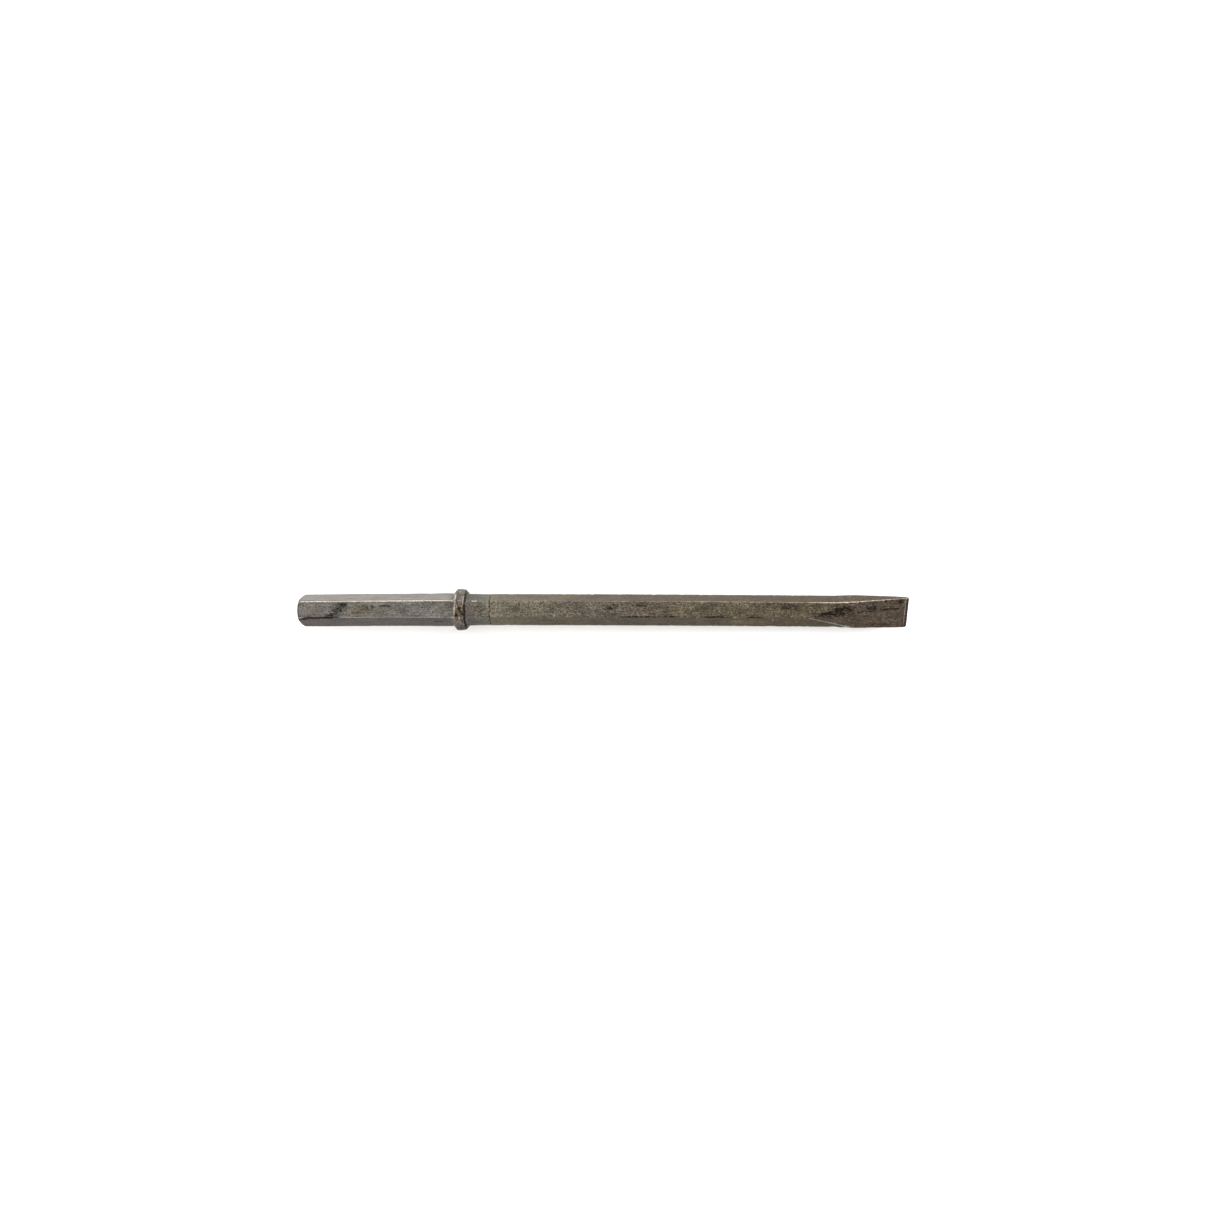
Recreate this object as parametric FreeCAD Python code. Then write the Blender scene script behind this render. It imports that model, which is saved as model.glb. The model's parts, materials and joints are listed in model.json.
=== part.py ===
"""Breaker chisel with a hexagonal shank: one upset and drawn steel forging.

The origin is the centre of the striking face.  +X runs along the tool to the cutting edge,
and +Z is the outward normal of one flat of the hexagon.  Everything is in millimetres.
The blade is forged across a pair of flats, so it is turned 30 degrees about X from +Z.
"""
import FreeCAD
import Part

import math
import os

# Driving dimensions
OVERALL_LENGTH = 600.0          # striking face to cutting edge
SHANK_FLATS = 28.0              # across flats, a standard breaker shank
SHANK_LENGTH = 152.0            # striking face to the root of the collar
BAR_FLATS = 27.2                # across flats past the neck, drawn down a little
COLLAR_DIAMETER = 41.0
BLADE_WIDTH = 32.4              # along the cutting edge
BLADE_LENGTH = 97.0             # forged taper, from the first cut into a corner of the bar
BLADE_TURN = 30.0               # degrees from the nearest flat of the hexagon

# Hexagon
CORNER_RADIUS = 1.3
NECK_CORNER_RADIUS = 2.4        # the corners are rounder where the dies closed on the neck
SWOLLEN_FLATS = 29.0            # the bar swells where it was upset into the collar

# Striking end
FACE_FLAT_RADIUS = 6.0          # flat middle of the face
FACE_CROWN_RADIUS = 18.0        # domes the rest of the face
FACE_SIDE_SLOPE = 25.5          # degrees, takes down the two corners on the Y axis
FACE_SIDE_RADIUS = 6.0          # rounds those corners off into the shank
END_LENGTH = 14.0               # all of this lies within so much of the bar

# Collar, measured along the tool
SWELL_LENGTH = 45.0             # the shank swells over this length before the collar
CREST_START = SHANK_LENGTH + 4.8
CREST_LENGTH = 7.8
CREST_EDGE_RADIUS = 1.8
COLLAR_SLOPE = 45.0             # degrees, both flanks
NECK_END = SHANK_LENGTH + 36.5  # the dies closed on the bar as far as here
NECK_MIDDLE = 0.5 * (CREST_START + CREST_LENGTH + NECK_END)
NECK_MIDDLE_FLATS = 27.8

# Blade
ROOT_TAPER = 10.2               # degrees, each broad face, next to the bar
EDGE_TAPER = 7.0                # degrees, each broad face, next to the cutting edge
TAPER_BLEND_LENGTH = 8.0        # from the meeting of the two tapers to each end of the arc
BEVEL_LENGTH = 3.2
BEVEL_HALF_THICKNESS = 1.6      # where the ground bevel starts
EDGE_HALF_THICKNESS = 0.4       # the cutting edge is blunt
FLARE_LENGTH = 68.0             # the sides spread over this length
TIP_CORNER_RADIUS = 1.5

X_AXIS = FreeCAD.Vector(1, 0, 0)
CENTRE = FreeCAD.Vector(0, 0, 0)
REACH = 40.0                    # further from the axis than any surface of the tool


def hexagon(x, flats, corner_radius):
    """Return a rounded hexagonal wire square to X, with a flat on top."""
    cut = corner_radius / math.tan(math.radians(60))
    corners = []
    for number in range(6):
        angle = math.radians(60 * number)
        radius = flats / math.sqrt(3)
        corners.append(FreeCAD.Vector(x, radius * math.cos(angle), radius * math.sin(angle)))
    edges = []
    for number, corner in enumerate(corners):
        before = corners[number - 1]
        after = corners[(number + 1) % 6]
        start = corner + (before - corner).normalize() * cut
        end = corner + (after - corner).normalize() * cut
        inward = FreeCAD.Vector(0, -corner.y, -corner.z).normalize()
        middle = corner + inward * corner_radius * (1 / math.cos(math.radians(30)) - 1)
        next_start = after + (corner - after).normalize() * cut
        edges.append(Part.Arc(start, middle, end).toShape())
        edges.append(Part.LineSegment(end, next_start).toShape())
    return Part.Wire(edges)


def hexagonal_bar():
    """Return the whole bar before its end is crowned and its blade is drawn."""
    collar_middle = CREST_START + 0.5 * CREST_LENGTH
    stations = [
        (0.0, SHANK_FLATS, CORNER_RADIUS),
        (SHANK_LENGTH - SWELL_LENGTH, SHANK_FLATS, CORNER_RADIUS),
        (SHANK_LENGTH, SWOLLEN_FLATS, NECK_CORNER_RADIUS),
        (collar_middle, SWOLLEN_FLATS, NECK_CORNER_RADIUS),
        (NECK_MIDDLE, NECK_MIDDLE_FLATS, NECK_CORNER_RADIUS),
        (NECK_END, BAR_FLATS, CORNER_RADIUS),
        (OVERALL_LENGTH, BAR_FLATS, CORNER_RADIUS),
    ]
    sections = [hexagon(x, flats, radius) for x, flats, radius in stations]
    return Part.makeLoft(sections, True, True)


def corner_arc(corner, toward_start, toward_end, radius):
    """Return an arc tangent to two lines that meet at a corner, and its two ends."""
    first = (toward_start - corner).normalize()
    second = (toward_end - corner).normalize()
    half = 0.5 * first.getAngle(second)
    cut = radius / math.tan(half)
    bisector = (first + second).normalize()
    middle = corner + bisector * (radius / math.sin(half) - radius)
    start = corner + first * cut
    end = corner + second * cut
    return Part.Arc(start, middle, end).toShape(), start, end


def rounded_outline(corners):
    """Return a closed face from (point, radius) corners, a radius of 0 being sharp."""
    edges = []
    last_end = None
    first_start = None
    for number, (corner, radius) in enumerate(corners):
        before = corners[number - 1][0]
        after = corners[(number + 1) % len(corners)][0]
        start = end = corner
        arc = None
        if radius > 0:
            arc, start, end = corner_arc(corner, before, after, radius)
        if last_end is not None:
            edges.append(Part.LineSegment(last_end, start).toShape())
        if arc is not None:
            edges.append(arc)
        first_start = first_start or start
        last_end = end
    edges.append(Part.LineSegment(last_end, first_start).toShape())
    return Part.Face(Part.Wire(edges))


def collar():
    """Return the round collar with its two sloping flanks, turned about X."""
    radius = 0.5 * COLLAR_DIAMETER
    root = 0.4 * SHANK_FLATS
    run = (radius - root) / math.tan(math.radians(COLLAR_SLOPE))
    crest_end = CREST_START + CREST_LENGTH
    profile = rounded_outline([
        (FreeCAD.Vector(CREST_START - run, 0, 0), 0),
        (FreeCAD.Vector(CREST_START - run, root, 0), 0),
        (FreeCAD.Vector(CREST_START, radius, 0), CREST_EDGE_RADIUS),
        (FreeCAD.Vector(crest_end, radius, 0), CREST_EDGE_RADIUS),
        (FreeCAD.Vector(crest_end + run, root, 0), 0),
        (FreeCAD.Vector(crest_end + run, 0, 0), 0),
    ])
    return profile.revolve(CENTRE, X_AXIS, 360)


def face_dome():
    """Return a round bar with a domed end, flat in the middle, turned about X."""
    half_corners = SHANK_FLATS / math.sqrt(3)
    run = half_corners - FACE_FLAT_RADIUS
    setback = FACE_CROWN_RADIUS - math.sqrt(FACE_CROWN_RADIUS ** 2 - run ** 2)
    halfway = FACE_CROWN_RADIUS - math.sqrt(FACE_CROWN_RADIUS ** 2 - 0.25 * run ** 2)
    dome = Part.Arc(
        FreeCAD.Vector(0, FACE_FLAT_RADIUS, 0),
        FreeCAD.Vector(halfway, FACE_FLAT_RADIUS + 0.5 * run, 0),
        FreeCAD.Vector(setback, half_corners, 0),
    ).toShape()
    rest = Part.makePolygon([
        FreeCAD.Vector(setback, half_corners, 0),
        FreeCAD.Vector(END_LENGTH, half_corners, 0),
        FreeCAD.Vector(END_LENGTH, 0, 0),
        FreeCAD.Vector(0, 0, 0),
        FreeCAD.Vector(0, FACE_FLAT_RADIUS, 0),
    ])
    half_plan = Part.Face(Part.Wire([dome] + list(rest.Edges)))
    return half_plan.revolve(CENTRE, X_AXIS, 360)


def side_slopes():
    """Return a thick plate whose end slopes back and rounds off at its two sides."""
    half_corners = SHANK_FLATS / math.sqrt(3)
    setback = (half_corners - FACE_FLAT_RADIUS) * math.tan(math.radians(FACE_SIDE_SLOPE))
    right = [
        (FreeCAD.Vector(0, FACE_FLAT_RADIUS, 0), 0),
        (FreeCAD.Vector(setback, half_corners, 0), FACE_SIDE_RADIUS),
        (FreeCAD.Vector(END_LENGTH, half_corners, 0), 0),
    ]
    left = [(FreeCAD.Vector(point.x, -point.y, 0), radius) for point, radius in reversed(right)]
    plan = rounded_outline(right + left)
    plan.translate(FreeCAD.Vector(0, 0, -REACH))
    return plan.extrude(FreeCAD.Vector(0, 0, 2 * REACH))


def end_waste():
    """Return what is taken off the end of the bar to dome the striking face."""
    blank = Part.makeBox(END_LENGTH, 2 * REACH, 2 * REACH)
    blank.translate(FreeCAD.Vector(0, -REACH, -REACH))
    return blank.cut(face_dome().common(side_slopes()))


def blade_thickness():
    """Return the wedge between the two broad faces, before it is turned about X."""
    bevel_start = OVERALL_LENGTH - BEVEL_LENGTH
    blade_start = OVERALL_LENGTH - BLADE_LENGTH
    root_slope = math.tan(math.radians(ROOT_TAPER))
    edge_slope = math.tan(math.radians(EDGE_TAPER))
    corner = BAR_FLATS / math.sqrt(3)
    rise = corner - BEVEL_HALF_THICKNESS - edge_slope * (bevel_start - blade_start)
    meeting_run = rise / (root_slope - edge_slope)
    meeting = FreeCAD.Vector(blade_start + meeting_run, 0, corner - root_slope * meeting_run)
    blend_radius = TAPER_BLEND_LENGTH / math.tan(math.radians(0.5 * (ROOT_TAPER - EDGE_TAPER)))
    lead = (REACH - corner) / root_slope
    upper = [
        (FreeCAD.Vector(blade_start - lead, 0, REACH), 0),
        (meeting, blend_radius),
        (FreeCAD.Vector(bevel_start, 0, BEVEL_HALF_THICKNESS), 0),
        (FreeCAD.Vector(OVERALL_LENGTH, 0, EDGE_HALF_THICKNESS), 0),
    ]
    lower = [(FreeCAD.Vector(point.x, 0, -point.z), radius) for point, radius in reversed(upper)]
    wedge = rounded_outline(upper + lower)
    wedge.translate(FreeCAD.Vector(0, -REACH, 0))
    taper = wedge.extrude(FreeCAD.Vector(0, 2 * REACH, 0))
    plain = Part.makeBox(blade_start, 2 * REACH, 2 * REACH)
    plain.translate(FreeCAD.Vector(0, -REACH, -REACH))
    return taper.fuse(plain)


def blade_flare():
    """Return the slab that the sides of the blade spread into, before it is turned about X."""
    half = 0.5 * BAR_FLATS
    spread = 0.5 * BLADE_WIDTH
    start = OVERALL_LENGTH - FLARE_LENGTH
    outline = [
        (FreeCAD.Vector(start, half, 0), 0),
        (FreeCAD.Vector(OVERALL_LENGTH, spread, 0), TIP_CORNER_RADIUS),
        (FreeCAD.Vector(OVERALL_LENGTH, -spread, 0), TIP_CORNER_RADIUS),
        (FreeCAD.Vector(start, -half, 0), 0),
    ]
    thickness = BAR_FLATS / math.sqrt(3)
    slab = rounded_outline(outline)
    slab.translate(FreeCAD.Vector(0, 0, -0.5 * thickness))
    return slab.extrude(FreeCAD.Vector(0, 0, thickness))


def forged_chisel():
    """Return the whole tool as one solid, as it is forged from one bar."""
    bar = hexagonal_bar().cut(end_waste())
    flare = blade_flare()
    thickness = blade_thickness()
    for shape in (flare, thickness):
        shape.rotate(CENTRE, X_AXIS, BLADE_TURN)
    tip = bar.fuse(flare).common(thickness)
    return tip.fuse(collar()).removeSplitter()


os.makedirs("parts", exist_ok=True)
forging = forged_chisel()
solids = forging.Solids
print("solids", len(solids), "valid", forging.isValid(), "volume", round(forging.Volume))
print("box", forging.BoundBox)
solids[0].exportStep("parts/forged_chisel.step")
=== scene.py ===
"""Looks of a one-piece forged breaker chisel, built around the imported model.

The tool lies along +X from its striking face, and +Z is the normal of its upper flat.
Lengths are in metres unless a name ends in mm.  A turn is an angle round the tool from +Y,
so the corners of the hexagon stand at 0, 60, 120 degrees and so on.
"""

import json
import logging
import math
from dataclasses import dataclass, field
from enum import Enum

import bmesh
import bpy
from bmesh.types import BMEdge, BMesh, BMVert
from bpy.types import Node, NodeSocket as Socket, NodeTree as Tree
from mathutils import Matrix, Vector, noise

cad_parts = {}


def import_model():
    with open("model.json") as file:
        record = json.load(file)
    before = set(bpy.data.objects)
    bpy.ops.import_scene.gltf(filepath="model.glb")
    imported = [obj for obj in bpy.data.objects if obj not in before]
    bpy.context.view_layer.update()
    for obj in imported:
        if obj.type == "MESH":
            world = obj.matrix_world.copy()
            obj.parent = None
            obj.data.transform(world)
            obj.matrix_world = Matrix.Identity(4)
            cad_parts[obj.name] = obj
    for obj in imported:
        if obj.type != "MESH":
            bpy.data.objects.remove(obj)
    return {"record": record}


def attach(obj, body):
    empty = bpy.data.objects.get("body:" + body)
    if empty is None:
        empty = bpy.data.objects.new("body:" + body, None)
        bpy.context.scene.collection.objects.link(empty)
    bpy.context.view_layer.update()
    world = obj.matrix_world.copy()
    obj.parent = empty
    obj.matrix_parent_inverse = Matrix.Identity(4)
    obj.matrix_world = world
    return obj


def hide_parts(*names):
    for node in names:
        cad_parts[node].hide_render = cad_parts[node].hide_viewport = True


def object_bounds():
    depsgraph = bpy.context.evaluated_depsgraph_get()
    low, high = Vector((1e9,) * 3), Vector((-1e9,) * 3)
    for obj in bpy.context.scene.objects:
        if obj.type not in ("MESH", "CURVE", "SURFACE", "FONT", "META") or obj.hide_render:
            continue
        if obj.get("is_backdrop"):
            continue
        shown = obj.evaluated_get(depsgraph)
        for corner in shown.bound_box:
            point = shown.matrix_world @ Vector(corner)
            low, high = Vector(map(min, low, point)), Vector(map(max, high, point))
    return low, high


log = logging.getLogger("breaker_chisel")

MM = 0.001
# A point of the plain bar as near its start as this is on the struck face
ON_FACE = 0.001 * MM


def smooth_min(first: float, second: float, blend: float) -> float:
    """Return the lower of two heights, rounded over where they meet.

    Args:
        first: One height.
        second: The other height.
        blend: Difference in height over which the two round into each other.

    Returns:
        The lower height, a quarter of the blend lower still where the two are equal.
    """
    overlap = max(blend - abs(first - second), 0.0) / blend
    return min(first, second) - overlap * overlap * blend * 0.25


def smooth_max(first: float, second: float, blend: float) -> float:
    """Return the higher of two heights, filleted where they meet."""
    return -smooth_min(-first, -second, blend)


def smooth_step(low: float, high: float, value: float) -> float:
    """Return 0 below low, 1 above high and an even S-curve between."""
    share = min(max((value - low) / (high - low), 0.0), 1.0)
    return share * share * (3.0 - 2.0 * share)


def bump_at(middle: float, reach: float, value: float) -> float:
    """Return 1 at the middle, falling smoothly to nothing a reach away on both sides."""
    return 1.0 - smooth_step(0.0, reach, abs(value - middle))


def rough(place: Vector, size: float, seed: float = 0.0) -> float:
    """Return smooth noise from -1 to 1 with bumps of about the given size."""
    return noise.noise(place / size + Vector((seed, 3.7 * seed, -1.9 * seed)))


class Film(Enum):
    """What lies on the steel, and painted highlight and shade, by the name of the mesh attribute that holds
    it.
    """

    # Pale metal, rubbed bare, and a painted highlight along the lit upper corner
    WORN_AND_HIGHLIGHT = "worn"  # pale metal, rubbed bare
    # Soot and old oil, and painted shade in creases and along the corner turned from the light
    DARK = "dark"  # soot and old oil
    RUST = "rust"
    GREEN = "green"  # grey-green heat tint
    OLIVE = "olive"  # olive-brown scale


@dataclass
class HexSection:
    """Cross-section of the bar: a hexagon with rounded corners, each side evenly divided."""

    flats: float
    corner_bevel: float = 1.0 * MM
    corner_segments: int = 3
    side_cuts: int = 13

    @property
    def corner_radius(self) -> float:
        """Distance from the axis to a sharp corner."""
        return self.flats / math.sqrt(3.0)

    def draw(self, shape: BMesh) -> list[BMEdge]:
        """Draw the section across X at the origin, with a flat on top.

        Args:
            shape: Mesh that takes the section.

        Returns:
            The edges of the closed ring.
        """
        bmesh.ops.create_circle(shape, segments=6, radius=self.corner_radius)
        bmesh.ops.rotate(shape, verts=shape.verts[:], matrix=Matrix.Rotation(math.radians(90.0), 3, "Y"))
        bmesh.ops.bevel(
            shape,
            geom=shape.verts[:],
            offset=self.corner_bevel,
            segments=self.corner_segments,
            profile=0.5,
            affect="VERTICES",
            material=-1,
        )
        longest = max(edge.calc_length() for edge in shape.edges)
        sides = [edge for edge in shape.edges if edge.calc_length() > 0.5 * longest]
        bmesh.ops.subdivide_edges(shape, edges=sides, cuts=self.side_cuts)
        return shape.edges[:]

    def from_corner(self, turn: float) -> float:
        """Distance along a side of the hexagon from its nearest corner."""
        from_flat = abs((math.degrees(turn) % 60.0) - 30.0)
        return 0.5 * self.flats * (math.tan(math.radians(30.0)) - math.tan(math.radians(from_flat)))


@dataclass
class StrikingEnd:
    """The domed end that the breaker's piston strikes, with its two side corners taken down."""

    flat_radius: float = 6.0 * MM
    crown_radius: float = 18.0 * MM
    side_slope: float = math.tan(math.radians(25.5))
    side_radius: float = 6.0 * MM
    side_reach: float = 16.4 * MM
    blend: float = 0.8 * MM
    length: float = 15.0 * MM
    rim_length: float = 2.0 * MM
    rim_smoothing: int = 4
    face_loops: int = 16

    def side_setback(self, y: float) -> float:
        """Depth of the plan outline: a slope from the flat middle, then an arc into the side.

        Args:
            y: Place across the face, towards a corner of the hexagon.

        Returns:
            Distance along X from the flat middle to the outline.
        """
        steepness = math.hypot(1.0, self.side_slope)
        arc_middle = self.side_reach - self.side_radius
        arc_back = self.side_radius * steepness + self.side_slope * (arc_middle - self.flat_radius)
        arc_start = arc_middle + self.side_radius * self.side_slope / steepness
        if abs(y) < arc_start:
            return self.side_slope * max(abs(y) - self.flat_radius, 0.0)
        run = min(abs(y) - arc_middle, self.side_radius)
        return arc_back - math.sqrt(self.side_radius**2 - run**2)

    def setback(self, y: float, z: float) -> float:
        """Depth of the struck face behind its flat middle.

        Args:
            y: Place across the face, towards a corner of the hexagon.
            z: Place across the face, towards a flat.

        Returns:
            Distance along X from the flat middle to the face.
        """
        run = max(math.hypot(y, z) - self.flat_radius, 0.0)
        dome = self.crown_radius - math.sqrt(self.crown_radius**2 - run**2)
        return smooth_max(dome, self.side_setback(y), self.blend)

    def settle(self, place: Vector) -> Vector:
        """Draw a point of the straight shank back so that the shank ends in the dome.

        Args:
            place: The point, nearer the face than the length of this end.

        Returns:
            The point's new place.
        """
        back = self.setback(place.y, place.z)
        remaining = max(1.0 - place.x / self.length, 0.0)
        return Vector((place.x + back * remaining, place.y, place.z))


@dataclass
class Collar:
    """Round collar that was upset out of the bar, with the swelling on both sides of it."""

    middle: float
    radius: float
    rear_reach: float = 4.3 * MM
    front_reach: float = 5.1 * MM
    crest_fall: float = 0.7 * MM
    swell: float = 0.5 * MM
    shank_swell_length: float = 75.0 * MM
    neck_length: float = 20.0 * MM
    neck_reach: float = 15.95 * MM
    rear_slope: float = 1.35
    front_slope: float = 2.0
    fillet: float = 0.9 * MM
    edge_round: float = 0.9 * MM
    unevenness: float = 0.45 * MM
    crease_depth: float = 1.1 * MM
    crease_reach: float = 1.6 * MM
    lap_reach: float = 0.8 * MM
    lap_turn_degrees: float = 92.0
    lap_degrees: float = 26.0
    lap_slant: float = 0.12 * MM  # along the tool for each degree round it
    die_mark_offset: float = 23.2 * MM
    die_mark_depth: float = 0.25 * MM
    flank_reach: float = 9.0 * MM
    zone: float = 16.0 * MM

    @property
    def rear(self) -> float:
        """Place of the crest's edge on the shank side."""
        return self.middle - self.rear_reach

    @property
    def front(self) -> float:
        """Place of the crest's edge on the blade side."""
        return self.middle + self.front_reach

    @property
    def die_mark(self) -> float:
        """Place of the fine line where the upsetting dies closed on the neck."""
        return self.front + self.die_mark_offset

    def wander(self, turn: float, seed: float) -> float:
        """Unevenness of the collar's edges round the tool."""
        return self.unevenness * rough(Vector((0.0, math.cos(turn), math.sin(turn))), 0.8, seed)

    def nearness(self, x: float) -> float:
        """Return 1 at the collar's middle, falling smoothly to nothing past its flanks."""
        return bump_at(self.middle, self.flank_reach, x)

    def swelling(self, x: float) -> float:
        """Growth of the bar's radius next to the collar.

        Args:
            x: Place along the tool.

        Returns:
            The growth, which ends sooner on the neck than on the shank.
        """
        if x < self.middle:
            share = min(max(1.0 - (self.rear - x) / self.shank_swell_length, 0.0), 1.0)
            return self.swell * share**1.6
        share = min(max(1.0 - (x - self.front) / self.neck_length, 0.0), 1.0)
        return 0.8 * self.swell * share

    def height(self, x: float, turn: float) -> float:
        """Distance from the axis to the collar's own surface.

        Args:
            x: Place along the tool.
            turn: Angle round the tool from +Y.

        Returns:
            A radius, far inside the bar away from the collar.
        """
        share = (x - self.rear) / (self.front - self.rear)
        crest = self.radius - self.crest_fall * max(share, 0.0) + 0.4 * self.wander(turn, 5.0)
        rear = self.radius - (self.rear + self.wander(turn, 1.0) - x) * self.rear_slope
        front = self.radius - self.crest_fall - (x - self.front - self.wander(turn, 2.0)) * self.front_slope
        return smooth_min(crest, smooth_min(rear, front, 0.1 * MM), self.edge_round)

    def crease(self, x: float, turn: float) -> float:
        """Depth of the fold that runs round the blade side of the crest.

        Args:
            x: Place along the tool.
            turn: Angle round the tool from +Y.

        Returns:
            A share of the crease's full depth.
        """
        line = self.front + 1.2 * self.wander(turn, 3.0)
        depth = 0.85 + 0.3 * rough(Vector((1.0, math.cos(turn), math.sin(turn))), 0.35, 4.0)
        return bump_at(line, self.crease_reach, x) * depth

    def lap(self, x: float, turn: float) -> float:
        """Depth of the slanting lap that the dies left across the upper side of the crest.

        Args:
            x: Place along the tool.
            turn: Angle round the tool from +Y.

        Returns:
            A share of the lap's full depth.
        """
        across = math.degrees(turn) - self.lap_turn_degrees
        line = self.middle + self.lap_slant * across + 0.5 * self.wander(3.0 * turn, 6.0)
        return bump_at(line, self.lap_reach, x) * bump_at(0.0, self.lap_degrees, across)

    def neck_share(self, x: float) -> float:
        """Share by which the corners are pressed round between the collar and the die mark."""
        return smooth_step(self.rear - 9.0 * MM, self.rear, x) * (
            1.0 - smooth_step(self.die_mark - 1.0 * MM, self.die_mark + 0.6 * MM, x)
        )


@dataclass
class Blade:
    """Flat blade drawn out of the bar, its width across one pair of flats."""

    end: float
    bar_flats: float
    width: float = 32.6 * MM
    turn: float = math.radians(30.0)
    root_slope: float = math.tan(math.radians(10.2))
    edge_slope: float = math.tan(math.radians(7.0))
    meeting_height: float = 7.8 * MM
    bevel_length: float = 3.2 * MM
    bevel_height: float = 1.6 * MM
    edge_height: float = 0.4 * MM
    flare_length: float = 72.0 * MM
    tip_round: float = 1.4 * MM
    zone: float = 110.0 * MM
    cut_corners: tuple[int, int] = (120, 300)
    cut_end_share: float = 0.29
    crisp_blend: float = 0.45 * MM
    soft_blend: float = 2.2 * MM

    @property
    def bevel_start(self) -> float:
        """Place along the tool where the ground bevel starts."""
        return self.end - self.bevel_length

    def half_thickness(self, x: float) -> float:
        """Distance from the blade's middle plane to a broad face.

        Args:
            x: Place along the tool.

        Returns:
            Half the thickness: two tapers, rounded where they meet, and then the ground bevel.
        """
        meeting = self.bevel_start - (self.meeting_height - self.bevel_height) / self.edge_slope
        near_root = self.meeting_height + (meeting - x) * self.root_slope
        near_edge = self.bevel_height + (self.bevel_start - x) * self.edge_slope
        taper = smooth_max(near_root, near_edge, 0.9 * MM)
        back = (self.end - x) / self.bevel_length
        bevel = self.edge_height + back * (self.bevel_height - self.edge_height)
        return min(taper, bevel)

    def half_width(self, x: float) -> float:
        """Distance from the blade's edge plane to a narrow side, which spreads fast and then slowly."""
        share = min(max(1.0 - (self.end - x) / self.flare_length, 0.0), 1.0)
        return 0.5 * (self.bar_flats + (self.width - self.bar_flats) * share**0.75)

    def flat_frame(self, place: Vector) -> tuple[float, float]:
        """Turn a point into the blade's own frame.

        Args:
            place: A point in the tool's frame.

        Returns:
            The point's place across the blade and above its middle plane.
        """
        across = math.cos(self.turn) * place.y + math.sin(self.turn) * place.z
        up = -math.sin(self.turn) * place.y + math.cos(self.turn) * place.z
        return across, up

    def cut_depth(self, place: Vector) -> float:
        """How far a point of the bar stands above the broad face, negative if below it."""
        return abs(self.flat_frame(place)[1]) - self.half_thickness(place.x)

    def draw_out(self, place: Vector) -> Vector:
        """Move a point of the plain bar to where forging and grinding leave it.

        Args:
            place: A point on the surface of the straight hexagonal bar.

        Returns:
            The point on the surface of the blade.
        """
        across, up = self.flat_frame(place)
        side_height = self.bar_flats / math.sqrt(12.0)
        limit = self.half_thickness(place.x)
        if limit >= side_height:
            blend = self.crisp_blend if across * up < 0.0 else self.soft_blend
            blend = min(blend, self.crisp_blend + 0.3 * abs(across))
            height = smooth_min(abs(up), limit, blend)
        else:
            height = limit * min(abs(up) / side_height, 1.0)
        up = math.copysign(height, up)
        across *= self.half_width(place.x) / (0.5 * self.bar_flats)
        overhang = min(max(abs(across) - (0.5 * self.width - self.tip_round), 0.0), self.tip_round)
        corner = self.tip_round - math.sqrt(self.tip_round**2 - overhang**2)
        near_tip = smooth_step(self.end - 6.0 * MM, self.end, place.x)
        y = math.cos(self.turn) * across - math.sin(self.turn) * up
        z = math.sin(self.turn) * across + math.cos(self.turn) * up
        return Vector((place.x - corner * near_tip, y, z))


@dataclass
class Bow:
    """Slight bend that forging and use have left in the bar, highest near the neck."""

    crown: float = 190.0 * MM
    rise: float = 0.85 * MM
    rear_bend: float = 0.026
    front_bend: float = 0.0148

    def lift(self, x: float) -> float:
        """Sideways shift of the bar's axis towards +Y, from bends that are in 1/m."""
        bend = self.rear_bend if x < self.crown else self.front_bend
        return self.rise - bend * (x - self.crown) ** 2


@dataclass(frozen=True)
class Stain:
    """One patch on the surface, by its middle and half its size along and round the tool."""

    place_mm: float
    turn_degrees: float
    along_mm: float
    round_degrees: float
    strength: float

    def share(self, x: float, turn: float) -> float:
        """How strongly the patch lies on a point of the surface.

        Args:
            x: Place of the point along the tool.
            turn: Angle of the point round the tool from +Y.

        Returns:
            The patch's strength at its middle, fading to 0 a little past its size.
        """
        along = (x / MM - self.place_mm) / self.along_mm
        off = (math.degrees(turn) - self.turn_degrees + 180.0) % 360.0 - 180.0
        distance = math.hypot(along, off / self.round_degrees)
        return self.strength * (1.0 - smooth_step(0.35, 1.3, distance))
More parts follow.
